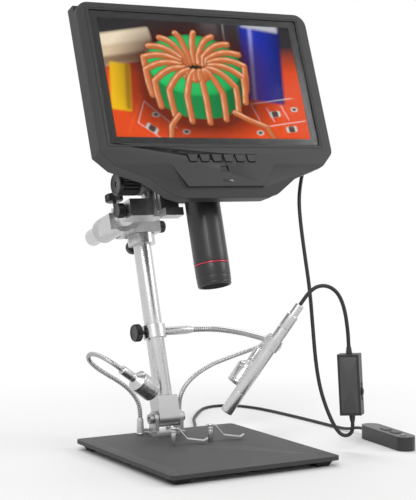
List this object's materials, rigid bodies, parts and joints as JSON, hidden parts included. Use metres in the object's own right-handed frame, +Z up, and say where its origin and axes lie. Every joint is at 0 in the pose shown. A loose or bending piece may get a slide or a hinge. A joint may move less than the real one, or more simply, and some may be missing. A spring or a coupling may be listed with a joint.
{
  "type": "digital microscope with screen",
  "caption": "Digital microscope: wide screen head on a leaning adjustable stand with base plate, gooseneck lamps, spring clips, pen camera and in-line controls.",
  "frame": {"origin": "centre of the lower face of the pad under the middle of the base plate, on the floor", "axes": "+Z up, +X to the user's right, +Y away from the user"},
  "size_m": [0.3195, 0.3465, 0.4355],
  "materials": {
    "black_powder": "fine textured powder coat",
    "rubber": "matte",
    "cast_silver": "satin cast",
    "steel": "satin",
    "bright_metal": "polished",
    "black_plastic": "fine matte",
    "knob_plastic": "moulded, slight sheen",
    "head_plastic": "fine matte texture",
    "barrel_paint": "semi-gloss",
    "accent_red": "gloss",
    "lens_glass": "clear polished",
    "smoked_window": "gloss",
    "screen_glass": "clear",
    "screen_panel": "lit display",
    "circuit_board": "solder mask",
    "focus_grey": "satin",
    "cord": "matte"
  },
  "bodies": {
    "base": {"base_plate": "black_powder", "rubber_feet": "rubber", "clip_posts": "bright_metal", "hinge_bracket": "cast_silver", "base_fasteners": "steel", "lamp_housings": "bright_metal", "lamp_lenses": "lens_glass", "lamp_goosenecks": "bright_metal", "lamp_sockets": "bright_metal", "remote_lower_shell": "black_plastic", "remote_upper_shell": "black_plastic", "floor_cord": "cord", "cord_gland": "black_plastic"},
    "left_clip": {"left_spring_clip": "steel"},
    "right_clip": {"right_spring_clip": "steel"},
    "remote_button_1": {"remote_key_1": "black_plastic"},
    "remote_button_2": {"remote_key_2": "black_plastic"},
    "stand": {"pivot_block": "cast_silver", "pillar_tube": "bright_metal"},
    "collar": {"height_collar": "bright_metal"},
    "collar_screw": {"collar_thumb_screw": "knob_plastic"},
    "arm": {"swivel_casting": "cast_silver"},
    "swivel_knob": {"swivel_lock_knob": "knob_plastic"},
    "boom_screw": {"boom_lock_screw": "knob_plastic"},
    "boom": {"boom_tube": "bright_metal"},
    "focus_mount": {"focus_block": "focus_grey", "rack_housing": "knob_plastic"},
    "tilt_screw": {"tilt_lock_screw": "steel"},
    "pinion": {"pinion_shaft": "steel", "focus_knobs": "knob_plastic"},
    "head": {"head_slide": "cast_silver", "lens_barrel": "barrel_paint", "accent_ring": "accent_red", "lens_hood": "barrel_paint", "objective_lens": "lens_glass", "lens_cell": "black_plastic", "front_frame": "head_plastic", "receiver_window": "smoked_window", "screen_glass": "screen_glass", "screen_panel": "screen_panel", "rear_shell": "head_plastic", "circuit_boards": "circuit_board", "power_plug": "black_plastic"},
    "accessory": {"accessory_ring": "bright_metal", "accessory_gooseneck": "bright_metal", "dimmer_front_shell": "black_plastic", "dimmer_rear_shell": "black_plastic", "pen_cord": "cord", "screen_cord": "cord"},
    "ring_screw": {"ring_thumb_screw": "knob_plastic"},
    "pen": {"pen_clip": "bright_metal", "pen_camera_tube": "bright_metal", "pen_camera_optics": "lens_glass"},
    "dimmer_wheel_body": {"dimmer_wheel": "knob_plastic"},
    "button_1": {"key_1": "head_plastic"},
    "button_2": {"key_2": "head_plastic"},
    "button_3": {"key_3": "head_plastic"},
    "button_4": {"key_4": "head_plastic"},
    "button_5": {"key_5": "head_plastic"},
    "button_6": {"key_6": "head_plastic"}
  },
  "joints": [
    {"name": "stand_tilt", "type": "hinge", "parent": "base", "child": "stand", "pos_m": [0.0044, 0.0854, 0.0255], "axis": [1, 0, 0], "range_deg": [-13, 5]},
    {"name": "collar_height", "type": "slide", "parent": "stand", "child": "collar", "axis": [0, 0.2924, 0.9563], "range_m": [-0.05, 0.004]},
    {"name": "arm_swivel", "type": "hinge", "parent": "collar", "child": "arm", "pos_m": [0.0044, 0.14387, 0.21676], "axis": [0, 0.2924, 0.9563], "range_deg": [-25, 25]},
    {"name": "boom_reach", "type": "slide", "parent": "arm", "child": "boom", "axis": [0, 0.9563, -0.2924], "range_m": [-0.02, 0.02]},
    {"name": "head_roll", "type": "hinge", "parent": "boom", "child": "focus_mount", "pos_m": [-0.0276, 0.08708, 0.23622], "axis": [0, 0.9563, -0.2924], "range_deg": [-8, 8]},
    {"name": "focus_travel", "type": "slide", "parent": "focus_mount", "child": "head", "axis": [0, 0.2924, 0.9563], "range_m": [-0.018, 0.018]},
    {"name": "pinion_turn", "type": "hinge", "parent": "focus_mount", "child": "pinion", "pos_m": [-0.0066, 0.0831, 0.26253], "axis": [1, 0, 0], "range_deg": [-258, 258]},
    {"name": "collar_screw_turn", "type": "hinge", "parent": "collar", "child": "collar_screw", "pos_m": [0.0044, 0.15354, 0.19707], "axis": [0, 0.9563, -0.2924], "continuous": true},
    {"name": "swivel_knob_turn", "type": "hinge", "parent": "arm", "child": "swivel_knob", "pos_m": [0.0194, 0.14396, 0.21705], "axis": [1, 0, 0], "continuous": true},
    {"name": "boom_screw_turn", "type": "hinge", "parent": "arm", "child": "boom_screw", "pos_m": [-0.0276, 0.13487, 0.2352], "axis": [0, 0.2924, 0.9563], "continuous": true},
    {"name": "tilt_screw_turn", "type": "hinge", "parent": "focus_mount", "child": "tilt_screw", "pos_m": [-0.0456, 0.08612, 0.23651], "axis": [1, 0, 0], "continuous": true},
    {"name": "accessory_swivel", "type": "hinge", "parent": "stand", "child": "accessory", "pos_m": [0.0044, 0.11135, 0.11037], "axis": [0, 0.2924, 0.9563], "range_deg": [-15, 20], "deforming": ["screen_cord"]},
    {"name": "ring_screw_turn", "type": "hinge", "parent": "accessory", "child": "ring_screw", "pos_m": [-0.0156, 0.11135, 0.11037], "axis": [1, 0, 0], "continuous": true},
    {"name": "pen_tilt", "type": "hinge", "parent": "accessory", "child": "pen", "pos_m": [0.0758, -0.00295, 0.10657], "axis": [-0.4988, -0.8667, 0], "range_deg": [-15, 15], "deforming": ["pen_cord"]},
    {"name": "wheel_turn", "type": "hinge", "parent": "accessory", "child": "dimmer_wheel_body", "pos_m": [0.14108, -0.05262, 0.0602], "axis": [0.742, 0.6704, 0], "range_deg": [-130, 130]},
    {"name": "key_1_press", "type": "slide", "parent": "head", "child": "button_1", "axis": [0, 0.9376, -0.3476], "range_m": [0, 0.0009], "stiffness_N_per_m": 900, "springref_m": -0.0004},
    {"name": "key_2_press", "type": "slide", "parent": "head", "child": "button_2", "axis": [0, 0.9376, -0.3476], "range_m": [0, 0.0009], "stiffness_N_per_m": 900, "springref_m": -0.0004},
    {"name": "key_3_press", "type": "slide", "parent": "head", "child": "button_3", "axis": [0, 0.9376, -0.3476], "range_m": [0, 0.0009], "stiffness_N_per_m": 900, "springref_m": -0.0004},
    {"name": "key_4_press", "type": "slide", "parent": "head", "child": "button_4", "axis": [0, 0.9376, -0.3476], "range_m": [0, 0.0009], "stiffness_N_per_m": 900, "springref_m": -0.0004},
    {"name": "key_5_press", "type": "slide", "parent": "head", "child": "button_5", "axis": [0, 0.9376, -0.3476], "range_m": [0, 0.0009], "stiffness_N_per_m": 900, "springref_m": -0.0004},
    {"name": "key_6_press", "type": "slide", "parent": "head", "child": "button_6", "axis": [0, 0.9376, -0.3476], "range_m": [0, 0.0009], "stiffness_N_per_m": 900, "springref_m": -0.0004},
    {"name": "left_clip_turn", "type": "hinge", "parent": "base", "child": "left_clip", "pos_m": [-0.0207, 0.0236, 0.024], "axis": [0, 0, 1], "range_deg": [-60, 60]},
    {"name": "right_clip_turn", "type": "hinge", "parent": "base", "child": "right_clip", "pos_m": [0.0207, 0.0236, 0.024], "axis": [0, 0, 1], "range_deg": [-60, 60]},
    {"name": "remote_key_1_press", "type": "slide", "parent": "base", "child": "remote_button_1", "axis": [0, 0, -1], "range_m": [0, 0.0006], "stiffness_N_per_m": 900, "springref_m": -0.0004},
    {"name": "remote_key_2_press", "type": "slide", "parent": "base", "child": "remote_button_2", "axis": [0, 0, -1], "range_m": [0, 0.0006], "stiffness_N_per_m": 900, "springref_m": -0.0004}
  ],
  "couplings": [
    {"joint": "pinion_turn", "follows": "focus_travel", "rad_per_m": -250}
  ]
}
